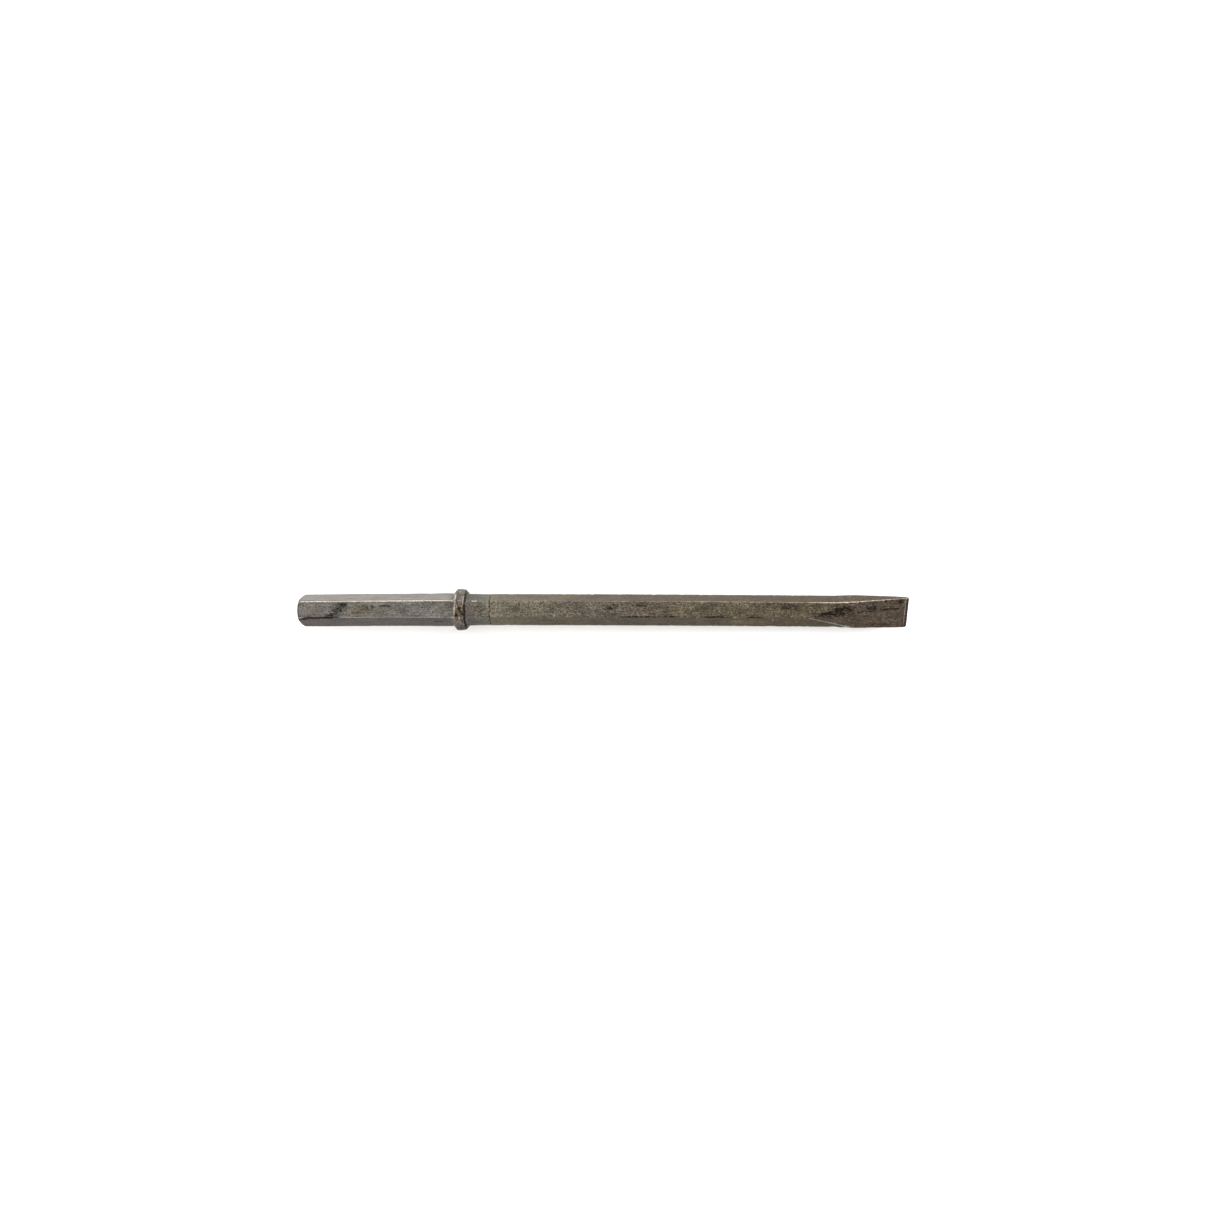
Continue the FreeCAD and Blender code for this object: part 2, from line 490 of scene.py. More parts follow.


# Patches that handling, heat and storage have left, and some painted highlight and shade along the upper
# corners.  The upper flat spans turns 60 to 120.
STAINS: dict[Film, tuple[Stain, ...]] = {
    Film.WORN_AND_HIGHLIGHT: (
        Stain(153.5, 120, 2.2, 4.5, 0.9),
        # Those at turns 60 and 61 lie on the lit upper corner and the lit half of the crest: rubbed metal
        # and painted highlight
        Stain(154, 61, 2.5, 4, 0.9),
        Stain(156.2, 60, 1.2, 24, 0.9),
        Stain(158.5, 84, 0.9, 3, 0.8),
        Stain(160.5, 116, 1, 3, 1.0),
        Stain(162.5, 111, 0.8, 2.5, 0.9),
        Stain(164.3, 66, 0.6, 18, 0.8),
        Stain(174.5, 61, 3.5, 2.2, 0.9),
        Stain(242, 112, 1, 2.4, 0.6),
        Stain(252, 116, 1.1, 2.6, 0.9),
        Stain(392, 120, 1, 2.4, 0.5),
        Stain(429, 121, 1.1, 2.6, 0.7),
        Stain(441, 76, 0.6, 8, 0.5),
        Stain(466, 134, 0.8, 8, 0.7),
    ),
    Film.DARK: (
        # The next three are painted shade: a dark line along the upper corner at 120 degrees, which faces
        # away from the light
        Stain(5, 126.5, 6, 3.6, 4.5),
        Stain(16, 121.5, 10, 3.4, 4.5),
        Stain(31, 120.2, 11, 3.4, 4.0),
        Stain(36, 111, 9, 8, 0.8),
        Stain(41, 94, 6.5, 14, 0.7),
        Stain(46, 76, 6, 13, 0.9),
        Stain(58, 104, 9, 8, 0.45),
        Stain(71, 84, 8, 14, 0.6),
        Stain(88, 77, 7.5, 7, 0.95),
        Stain(141, 146, 9, 8, 0.5),
        Stain(158, 108, 2.6, 7, 0.85),
        Stain(160.5, 90, 2.4, 8, 0.85),
        Stain(163, 106, 2.4, 10, 1.2),
        Stain(180, 94, 7.5, 26, 0.45),
        Stain(244, 143, 10, 9, 0.7),
        Stain(300, 265, 60, 14, 0.6),
        Stain(308, 80, 8, 15, 0.7),
        # This line and those at 366, 411 and 448 mm are painted shade along the corner at 120 degrees,
        # which faces away from the light
        Stain(335, 119, 24, 3.6, 0.95),
        Stain(338, 74, 8, 8, 0.55),
        Stain(366, 118.5, 10, 3.2, 0.9),
        Stain(411, 119, 15, 3.8, 1.0),
        Stain(448, 119, 9, 3.2, 1.0),
        Stain(471, 150, 12, 10, 0.3),
        Stain(482, 78, 10, 14, 0.65),
        Stain(524, 109, 21, 15, 1.1),
        Stain(533, 93, 13, 25, 1.2),
        Stain(545, 290, 20, 34, 0.9),
        Stain(556, 109, 9, 3, 1.4),
        Stain(563, 88, 7, 18, 0.65),
        Stain(566, 94, 2.2, 6, 1.6),
        Stain(570, 105, 10, 3, 1.7),
        Stain(573, 166, 22, 9, 0.45),
        Stain(577, 66, 2, 5, 1.4),
        Stain(583, 67, 1.6, 4, 1.4),
        Stain(584, 102, 10, 3.2, 2.0),
        Stain(592.5, 72, 2.8, 9, 1.2),
    ),
    Film.RUST: (
        Stain(52, 40, 9, 7, 0.5),
        Stain(58, 150, 13, 18, 0.3),
        Stain(82, 40, 9, 7, 0.5),
        Stain(112, 28, 20, 12, 0.35),
        Stain(155, 150, 3, 40, 0.5),
        Stain(156, 92, 2.5, 30, 1.2),
        Stain(159, 30, 3, 12, 0.8),
        Stain(160, 250, 5.5, 60, 0.8),
        Stain(160.5, 100, 5, 24, 1.3),
        Stain(440, 150, 30, 22, 0.5),
        Stain(524, 98, 24, 34, 0.5),
    ),
    Film.GREEN: (
        Stain(40, 148, 7, 16, 0.45),
        Stain(43, 86, 9.5, 24, 1.6),
        Stain(90, 270, 40, 25, 0.7),
        Stain(104, 84, 16, 26, 0.6),
        Stain(134, 92, 14, 28, 0.6),
        Stain(162, 122, 3, 8, 0.9),
        Stain(177, 30, 13, 30, 0.55),
        Stain(177, 150, 13, 30, 0.5),
        Stain(292, 92, 13, 32, 0.45),
        Stain(330, 146, 26, 20, 0.5),
        Stain(520, 15, 25, 20, 0.5),
        Stain(533, 168, 14, 9, 0.9),
        Stain(562, 90, 10, 24, 0.5),
    ),
    Film.OLIVE: (
        Stain(19, 111, 19, 12, 0.6),
        Stain(66, 90, 17, 34, 0.8),
        Stain(84, 96, 12, 22, 0.5),
        Stain(150, 88, 8, 30, 0.5),
        Stain(184, 96, 7, 30, 0.3),
        Stain(235, 92, 60, 34, 0.4),
        Stain(240, 150, 55, 30, 0.6),
        Stain(240, 30, 55, 30, 0.45),
        Stain(400, 90, 60, 32, 0.6),
        Stain(430, 285, 60, 30, 0.8),
        Stain(492, 84, 36, 28, 0.5),
    ),
}


@dataclass
class Skin:
    """Unevenness that the forge leaves: waves, ripples, pits, nicked corners and tool marks.

    The shank is brushed, so it keeps only a share of what the scaled bar has.
    """

    shank_share: float = 0.35
    wave_height: float = 0.13 * MM
    wave_size: float = 9.0 * MM
    ripple_height: float = 0.06 * MM
    ripple_size: float = 2.6 * MM
    pit_size: float = 3.6 * MM
    pit_level: float = 0.42
    shank_pit_depth: float = 0.1 * MM
    bar_pit_depth: float = 0.5 * MM
    nick_size: float = 4.5 * MM
    nick_level: float = 0.2
    nick_inner_reach: float = 0.3 * MM
    nick_outer_reach: float = 1.6 * MM
    shank_nick_depth: float = 0.25 * MM
    bar_nick_depth: float = 0.75 * MM
    collar_bump_height: float = 0.38 * MM
    collar_bump_size: float = 2.2 * MM
    curl_depth: float = 0.5 * MM
    curl_size: float = 2.8 * MM
    dent_place: float = 311.0 * MM
    dent_turn_degrees: float = 80.0
    dent_length: float = 2.2 * MM
    dent_degrees: float = 9.0
    dent_depth: float = 0.5 * MM

    def relief(self, plain: Vector, collar: Collar, from_corner: float) -> float:
        """Height of the unevenness at a point of the straight bar.

        Args:
            plain: The point before forging, so that its turn and place along the bar are known.
            collar: The collar, which has a rougher skin, a crease, a lap and a die mark.
            from_corner: Distance of the point from the nearest corner of the hexagon.

        Returns:
            Distance outwards, negative in pits, nicks and creases.
        """
        turn = math.atan2(plain.z, plain.y)
        scaled = smooth_step(collar.middle, collar.die_mark, plain.x)
        share = self.shank_share + (1.0 - self.shank_share) * scaled
        drawn = Vector((0.5 * plain.x, plain.y, plain.z))
        height = share * self.wave_height * rough(drawn, self.wave_size, 1.0)
        height += share * self.ripple_height * rough(plain, self.ripple_size, 2.0)
        pit_depth = self.shank_pit_depth + (self.bar_pit_depth - self.shank_pit_depth) * scaled
        height -= pit_depth * max(rough(plain, self.pit_size, 3.0) - self.pit_level, 0.0)
        nick_depth = self.shank_nick_depth + (self.bar_nick_depth - self.shank_nick_depth) * scaled
        nick_depth *= 1.0 - smooth_step(self.nick_inner_reach, self.nick_outer_reach, from_corner)
        height -= nick_depth * max(rough(plain, self.nick_size, 4.0) - self.nick_level, 0.0)
        bumps = collar.nearness(plain.x) * self.collar_bump_height
        height += bumps * rough(plain, self.collar_bump_size, 5.0)
        height -= collar.crease_depth * (collar.crease(plain.x, turn) + 0.6 * collar.lap(plain.x, turn))
        height -= collar.die_mark_depth * bump_at(collar.die_mark, 0.8 * MM, plain.x)
        curled = bump_at(collar.die_mark - 6.5 * MM, 6.0 * MM, plain.x)
        curled *= bump_at(92.0, 22.0, math.degrees(turn))
        height -= curled * self.curl_depth * max(rough(plain, self.curl_size, 6.0), 0.0)
        dent_along = (plain.x - self.dent_place) / self.dent_length
        dent_round = (math.degrees(turn) - self.dent_turn_degrees) / self.dent_degrees
        return height - self.dent_depth * (1.0 - smooth_step(0.0, 1.0, math.hypot(dent_along, dent_round)))


@dataclass
class WearAndHighlight:
    """Edges that handling has rubbed down to bare metal, each by its strength and half its width.

    The corners of the hexagon go by their turn in degrees.  On the corner at 60 degrees, which
    faces the light, the pale line is partly a painted highlight.
    """

    # The corner at 60 degrees is the brightest: its pale line is rubbed metal and a painted highlight
    corners: dict[int, float] = field(
        default_factory=lambda: {0: 0.7, 60: 1.0, 120: 0.45, 180: 0.7, 240: 0.8, 300: 0.7}
    )
    corner_inner_reach: float = 0.15 * MM
    corner_outer_reach: float = 0.7 * MM
    on_shank: float = 1.25
    on_bar: float = 0.4
    more_on_far_bar: float = 0.3
    more_on_blade: float = 0.9
    face_ring: float = 0.6
    face_ring_start: float = 10.0 * MM
    face_ring_end: float = 14.0 * MM
    cut: float = 0.8
    cut_reach: float = 0.55 * MM
    crest_reach: float = 1.6 * MM
    bevel: float = 0.6
    bevel_reach: float = 0.7 * MM


@dataclass
class Forging:
    """The whole tool as one closed mesh: striking end, shank, collar, neck, bar and blade."""

    length: float
    shank_flats: float
    bar_flats: float
    collar: Collar
    blade: Blade
    end: StrikingEnd = field(default_factory=StrikingEnd)
    bow: Bow = field(default_factory=Bow)
    skin: Skin = field(default_factory=Skin)
    wear: WearAndHighlight = field(default_factory=WearAndHighlight)
    side_coarseness: dict[int, float] = field(
        default_factory=lambda: {30: 0.35, 90: 1.0, 150: 0.4, 210: 0.5, 270: 0.9, 330: 0.6}
    )

    def zones(self) -> list[tuple[float, float]]:
        """Divide the bar into zones for its loops.

        Returns:
            The end of each zone along X, with the spacing of the loops that it needs.
        """
        collar = self.collar
        return [
            (self.end.rim_length, 0.5 * MM),
            (self.end.length, 0.9 * MM),
            (collar.rear - 7.5 * MM, 1.1 * MM),
            (collar.front + 7.0 * MM, 0.35 * MM),
            (collar.die_mark - 2.0 * MM, 0.7 * MM),
            (collar.die_mark + 2.0 * MM, 0.33 * MM),
            (self.length - 100.0 * MM, 1.0 * MM),
            (self.blade.bevel_start, 0.75 * MM),
            (self.length, 0.5 * MM),
        ]

    def straight_bar(self) -> BMesh:
        """Extrude the plain bar, zone by zone, and close both ends.

        Returns:
            The mesh of the straight hexagonal bar, pinched to a line at the cutting edge.
        """
        shape = bmesh.new()
        ring = HexSection(self.shank_flats).draw(shape)
        face_edges = ring
        start = 0.0
        for stop, spacing in self.zones():
            drawn = bmesh.ops.extrude_edge_only(shape, edges=ring)
            fresh = {item for item in drawn["geom"] if isinstance(item, BMVert)}
            bmesh.ops.translate(shape, verts=list(fresh), vec=(stop - start, 0.0, 0.0))
            ring = [item for item in drawn["geom"] if isinstance(item, BMEdge)]
            shape.edges.index_update()
            links = {edge for vertex in fresh for edge in vertex.link_edges}
            lengthwise = [edge for edge in links if not fresh.issuperset(edge.verts)]
            lengthwise.sort(key=lambda edge: edge.index)
            cuts = max(round((stop - start) / spacing) - 1, 0)
            bmesh.ops.subdivide_edges(shape, edges=lengthwise, cuts=cuts, use_grid_fill=True)
            start = stop
        self.close_face(shape, face_edges)
        self.close_edge(shape, ring)
        return shape

    def close_face(self, shape: BMesh, ring: list[BMEdge]) -> None:
        """Close the striking end with loops that shrink towards its centre.

        Args:
            shape: Mesh of the bar.
            ring: Open ring of edges at the striking end.
        """
        loops = self.end.face_loops
        for number in range(1, loops):
            drawn = bmesh.ops.extrude_edge_only(shape, edges=ring)
            inner = [item for item in drawn["geom"] if isinstance(item, BMVert)]
            ring = [item for item in drawn["geom"] if isinstance(item, BMEdge)]
            shrink = (loops - number) / (loops - number + 1)
            bmesh.ops.scale(shape, verts=inner, vec=(1.0, shrink, shrink))
        bmesh.ops.contextual_create(shape, geom=ring)
        centre_faces = [face for face in shape.faces if len(face.verts) > 4]
        bmesh.ops.poke(shape, faces=centre_faces)

    def close_edge(self, shape: BMesh, ring: list[BMEdge]) -> None:
        """Close the cutting edge by folding its last loop flat, upper half onto lower half.

        Args:
            shape: Mesh of the bar.
            ring: Open ring of edges at the cutting edge.
        """
        tips = list({vertex for edge in ring for vertex in edge.verts})
        fold = Matrix.Rotation(-self.blade.turn, 3, "X")
        bmesh.ops.rotate(shape, verts=tips, matrix=fold)
        bmesh.ops.scale(shape, verts=tips, vec=(1.0, 1.0, 0.0))
        bmesh.ops.rotate(shape, verts=tips, matrix=fold.inverted())
        bmesh.ops.remove_doubles(shape, verts=tips, dist=0.01 * MM)

    def forge(self, place: Vector) -> Vector:
        """Move a point of the straight bar to the surface of the finished tool.

        Args:
            place: The point on the straight bar.

        Returns:
            Its place on the striking end, the shank, the collar, the neck, the bar or the blade.
        """
        if place.x <= ON_FACE:
            return Vector((self.end.setback(place.y, place.z), place.y, place.z))
        if place.x < self.end.length:
            return self.end.settle(place)
        turn = math.atan2(place.z, place.y)
        drawn = smooth_step(self.collar.middle, self.collar.die_mark, place.x)
        flats = self.shank_flats + (self.bar_flats - self.shank_flats) * drawn
        scale = (flats + 2.0 * self.collar.swelling(place.x)) / self.shank_flats
        radius = math.hypot(place.y, place.z) * scale
        pressed = self.collar.neck_share(place.x)
        if pressed > 0.0:
            radius += pressed * (smooth_min(radius, self.collar.neck_reach, 1.6 * MM) - radius)
        if abs(place.x - self.collar.middle) < self.collar.zone:
            radius = smooth_max(radius, self.collar.height(place.x, turn), self.collar.fillet)
        bar = Vector((place.x, radius * math.cos(turn), radius * math.sin(turn)))
        if place.x > self.length - self.blade.zone:
            return self.blade.draw_out(bar)
        return bar

    def wear_along(self, x: float) -> float:
        """How far corners are rubbed bare along the tool, the lit one with a painted highlight: most on the
        shank, least on the bar.

        Args:
            x: Place along the tool.

        Returns:
            A factor for the wear of every corner.
        """
        rear = self.collar.rear
        shank = 1.0 - smooth_step(rear - 4.0 * MM, rear + 2.0 * MM, x)
        far_bar = smooth_step(0.55 * self.length, 0.7 * self.length, x)
        blade = smooth_step(self.length - 100.0 * MM, self.length - 80.0 * MM, x)
        beyond = self.wear.on_bar + self.wear.more_on_far_bar * far_bar + self.wear.more_on_blade * blade
        return max(self.wear.on_shank * shank, beyond)

    def coarseness(self, plain: Vector) -> float:
        """How grainy the skin is: coarse on the flats that lay in the dies, fine beside them.

        Args:
            plain: A point of the straight bar.

        Returns:
            A share from 0 to 1.
        """
        degrees = math.degrees(math.atan2(plain.z, plain.y)) % 360.0
        side = int(degrees // 60.0) * 60 + 30
        on_blade = smooth_step(self.length - 100.0 * MM, self.length - 60.0 * MM, plain.x)
        on_collar = bump_at(self.collar.middle, 12.0 * MM, plain.x)
        on_bar = smooth_step(self.collar.rear, self.collar.die_mark, plain.x)
        return max((0.75 + 0.25 * on_bar) * self.side_coarseness[side], 0.8 * on_blade, on_collar)

    def rubbed(self, plain: Vector, turn: float, from_corner: float) -> float:
        """How bare the edges are rubbed, with a painted highlight on the lit corner: corners, blade cuts,
        crest and bevel.

        Args:
            plain: A point of the straight bar.
            turn: Its angle round the tool from +Y.
            from_corner: Its distance from the nearest corner of the hexagon.

        Returns:
            An amount of bare metal, from 0 up.
        """
        collar = self.collar
        blade = self.blade
        wear = self.wear
        nearest = round(math.degrees(turn) / 60.0) * 60 % 360
        corner = self.wear_along(plain.x) * wear.corners[nearest]
        corner *= 1.0 - smooth_step(wear.corner_inner_reach, wear.corner_outer_reach, from_corner)
        corner *= 1.0 - collar.nearness(plain.x)
        cut = 0.0
        if plain.x > self.length - blade.zone:
            across, up = blade.flat_frame(plain)
            depth = blade.cut_depth(plain)
            if nearest in blade.cut_corners:
                corner *= 1.0 - smooth_step(-0.6 * MM, 0.2 * MM, depth)
            if across * up < 0.0 and blade.half_thickness(plain.x) > blade.cut_end_share * blade.bar_flats:
                cut = wear.cut * bump_at(0.1 * MM, wear.cut_reach, depth)
        ragged = max(0.25 + 1.6 * rough(plain, 7.0 * MM, 8.0), 0.0)
        crest_line = collar.rear - 0.5 * MM + 2.0 * collar.wander(turn, 1.0)
        crest = ragged * bump_at(crest_line, wear.crest_reach, plain.x)
        bevel = wear.bevel * bump_at(blade.bevel_start, wear.bevel_reach, plain.x)
        return max(corner, cut, crest, bevel)

    def painted_shade_lines(self, x: float, turn: float) -> float:
        """How dark the painted shade is in the creases, the die mark's groove, inside the rim and along the
        blade's lower edges.

        Args:
            x: Place of a point along the tool.
            turn: Its angle round the tool from +Y.

        Returns:
            An amount of the dark film, from 0 up.
        """
        collar = self.collar
        # Painted shade: the crease, the lap and the die mark's groove are darkened where shade falls in
        # them, and so are the rim and the blade's lower corner
        creases = 2.6 * max(collar.crease(x, turn), 0.8 * collar.lap(x, turn))
        die_mark = 0.9 * bump_at(collar.die_mark, 1.1 * MM, x)
        rim = 0.9 * bump_at(0.7 * MM, 1.3 * MM, x)
        lower_edge_shade = 0.8 * bump_at(180.0, 5.0, abs(math.degrees(turn)))
        lower_edge_shade *= smooth_step(self.length - 55.0 * MM, self.length - 40.0 * MM, x)
        return max(creases, die_mark, rim, lower_edge_shade)

    def films(self, plain: Vector, from_corner: float) -> dict[Film, float]:
        """How much of each film lies on a point of the straight bar.

        Args:
            plain: The point before forging.
            from_corner: Its distance from the nearest corner of the hexagon.

        Returns:
            An amount, from 0 up, for each film.
        """
        turn = math.atan2(plain.z, plain.y)
        amounts = {film: max(stain.share(plain.x, turn) for stain in STAINS[film]) for film in Film}
        if plain.x <= ON_FACE:
            ring = smooth_step(self.wear.face_ring_start, self.wear.face_ring_end, plain.yz.length)
            amounts[Film.WORN_AND_HIGHLIGHT] = self.wear.face_ring * ring
            return amounts
        beside = bump_at(1.9 * MM, 1.6 * MM, from_corner)
        beside *= 1.0 - smooth_step(0.1, 0.5, plain.x / self.length)
        amounts[Film.GREEN] = max(amounts[Film.GREEN], 0.55 * beside)
        amounts[Film.DARK] = max(amounts[Film.DARK], self.painted_shade_lines(plain.x, turn))
        amounts[Film.WORN_AND_HIGHLIGHT] = max(amounts[Film.WORN_AND_HIGHLIGHT], self.rubbed(plain, turn, from_corner))
        amounts[Film.WORN_AND_HIGHLIGHT] *= 1.0 - min(amounts[Film.DARK], 1.0)
        return amounts

    def build(self) -> bpy.types.Object:
        """Make the finished piece: mark the plain bar, forge it, then raise its skin.

        Returns:
            The piece as an object of the scene.
        """
        shape = self.straight_bar()
        layers = {film: shape.verts.layers.float.new(film.value) for film in Film}
        raised = shape.verts.layers.float.new("raised")
        coarse = shape.verts.layers.float.new("coarse")
        section = HexSection(self.shank_flats)
        rim = []
        for vertex in shape.verts:
            plain = vertex.co.copy()
            from_corner = section.from_corner(math.atan2(plain.z, plain.y))
            for film, amount in self.films(plain, from_corner).items():
                vertex[layers[film]] = amount
            vertex[raised] = self.skin.relief(plain, self.collar, from_corner)
            vertex[coarse] = self.coarseness(plain)
            vertex.co = self.forge(plain)
            if plain.x < self.end.rim_length and plain.yz.length > 0.4 * self.shank_flats:
                rim.append(vertex)
        for _ in range(self.end.rim_smoothing):
            bmesh.ops.smooth_vert(
                shape, verts=rim, factor=0.5, use_axis_x=True, use_axis_y=True, use_axis_z=True
            )
        bmesh.ops.recalc_face_normals(shape, faces=shape.faces[:])
        shape.normal_update()
        for vertex in shape.verts:
            vertex.co += vertex.normal * vertex[raised]
            vertex.co.y += self.bow.lift(vertex.co.x)
        bmesh.ops.dissolve_degenerate(shape, edges=shape.edges[:], dist=0.002 * MM)
        shape.verts.layers.float.remove(raised)
        open_edges = sum(1 for edge in shape.edges if not edge.is_manifold)
        log.info("forging: %d faces, %d open edges", len(shape.faces), open_edges)
        mesh = bpy.data.meshes.new("forged_chisel_detailed")
        shape.to_mesh(mesh)
        shape.free()
        mesh.shade_smooth()
        piece = bpy.data.objects.new("forged_chisel_detailed", mesh)
        bpy.context.scene.collection.objects.link(piece)
        return piece


def linear(colour: str) -> tuple[float, float, float, float]:
    """Turn an sRGB colour to linear.

    Args:
        colour: Six hex digits.

    Returns:
        Linear red, green and blue, and an alpha of 1.
    """
    channels = []
    for start in (0, 2, 4):
        value = int(colour[start : start + 2], 16) / 255.0
        channels.append(value / 12.92 if value <= 0.04045 else ((value + 0.055) / 1.055) ** 2.4)
    return (channels[0], channels[1], channels[2], 1.0)


def add_node(tree: Tree, kind: str, settings: dict | None = None, links: dict | None = None) -> Node:
    """Add one node to a material.

    Args:
        tree: The node tree of the material or of the surround.
        kind: Blender's name of the node type, without its "ShaderNode" start.
        settings: Properties of the node, and values of its inputs under their name or number.
        links: Outputs of other nodes, under the name or number of the input that each one feeds.

    Returns:
        The new node.
    """
    node = tree.nodes.new("ShaderNode" + kind)
    for name, value in (settings or {}).items():
        if isinstance(name, str) and hasattr(node, name):
            setattr(node, name, value)
        else:
            node.inputs[name].default_value = value
    for name, source in (links or {}).items():
        tree.links.new(source, node.inputs[name])
    return node


@dataclass(frozen=True)
class Zone:
    """Look of the steel at one place along the tool, before films and marks."""

    place_mm: float
    colour: str
    roughness: float
    metallic: float

    def looks(self) -> tuple[tuple[float, ...], ...]:
        """Return the colour, the roughness and the metallic share, each as a colour for a ramp."""
        return linear(self.colour), (self.roughness,) * 3 + (1.0,), (self.metallic,) * 3 + (1.0,)


@dataclass(frozen=True)
class FilmFinish:
    """Look of one film, and the size and sharpness of the patches that it breaks into."""

    film: Film
    colour: str
    roughness: float
    metallic: float
    patch_mm: float
    contrast: float
    most: float
    threshold: float = 0.15


@dataclass(frozen=True)
class Marks:
    """A noise that breaks up the finish, by the real size of its marks.

    A squeeze under 1 draws the marks out along the tool.  The tones are what the lowest and the
    highest of the noise multiply the colour by.
    """

    name: str
    size_mm: float
    detail: float
    roughness: float = 0.5
    squeeze: float = 0.5
    tones: tuple[float, float] = (1.0, 1.0)


@dataclass(frozen=True)
class Specks:
    """Small spots, from where their noise starts to show them to where it shows them in full."""

    start: float
    full: float
    colour: str
    most: float


@dataclass
class Coat:
    """A finish so far: its node tree, and the outputs that give its look as layers are added."""

    tree: Tree
    colour: Socket
    roughness: Socket
    metallic: Socket

    def lay(self, finish: FilmFinish, patches: Socket) -> None:
        """Lay one film where the mesh carries it, broken into patches.

        Args:
            finish: Look of the film.
            patches: Noise that breaks the film up.
        """
        tree = self.tree
        amount = add_node(tree, "Attribute", {"attribute_name": finish.film.value})
        contrast = {"operation": "MULTIPLY_ADD", 1: finish.contrast, 2: 1.0 - 0.5 * finish.contrast}
        uneven = add_node(tree, "Math", contrast, {0: patches})
        factors = {0: amount.outputs["Fac"], 1: uneven.outputs[0]}
        broken = add_node(tree, "Math", {"operation": "MULTIPLY"}, factors)
        limits = {"From Min": finish.threshold, "To Max": finish.most}
        cover = add_node(tree, "MapRange", limits, {"Value": broken.outputs[0]}).outputs[0]
        tint = {"data_type": "RGBA", 7: linear(finish.colour)}
        self.colour = add_node(tree, "Mix", tint, {0: cover, 6: self.colour}).outputs[2]
        rougher = add_node(tree, "Mix", {3: finish.roughness}, {0: cover, 2: self.roughness})
        self.roughness = rougher.outputs[0]
        barer = add_node(tree, "Mix", {3: finish.metallic}, {0: cover, 2: self.metallic})
        self.metallic = barer.outputs[0]

    def mottle(self, marks: Marks, pattern: Socket, where: Socket | None = None) -> None:
        """Darken and lighten the coat by one set of marks.

        Args:
            marks: The marks.
            pattern: Their noise.
            where: Share, from 0 to 1, in which the marks show, or None for everywhere.
        """
        tones = {"From Min": 0.3, "From Max": 0.7, "To Min": marks.tones[0], "To Max": marks.tones[1]}
        tone = add_node(self.tree, "MapRange", tones, {"Value": pattern})
        links = {6: self.colour, 7: tone.outputs[0]}
        if where is not None:
            links[0] = where
        multiply = {"data_type": "RGBA", "blend_type": "MULTIPLY", 0: 1.0}
        self.colour = add_node(self.tree, "Mix", multiply, links).outputs[2]

    def speckle(self, specks: Specks, pattern: Socket, where: Socket) -> None:
        """Sprinkle one kind of speck over the coat.

        Args:
            specks: The specks.
            pattern: Their noise.
            where: Share, from 0 to 1, in which the specks show.
        """
        limits = {"From Min": specks.start, "From Max": specks.full, "To Max": specks.most}
        spots = add_node(self.tree, "MapRange", limits, {"Value": pattern})
        factors = {0: spots.outputs[0], 1: where}
        shown = add_node(self.tree, "Math", {"operation": "MULTIPLY"}, factors)
        tint = {"data_type": "RGBA", 7: linear(specks.colour)}
        mixed = add_node(self.tree, "Mix", tint, {0: shown.outputs[0], 6: self.colour})
        self.colour = mixed.outputs[2]


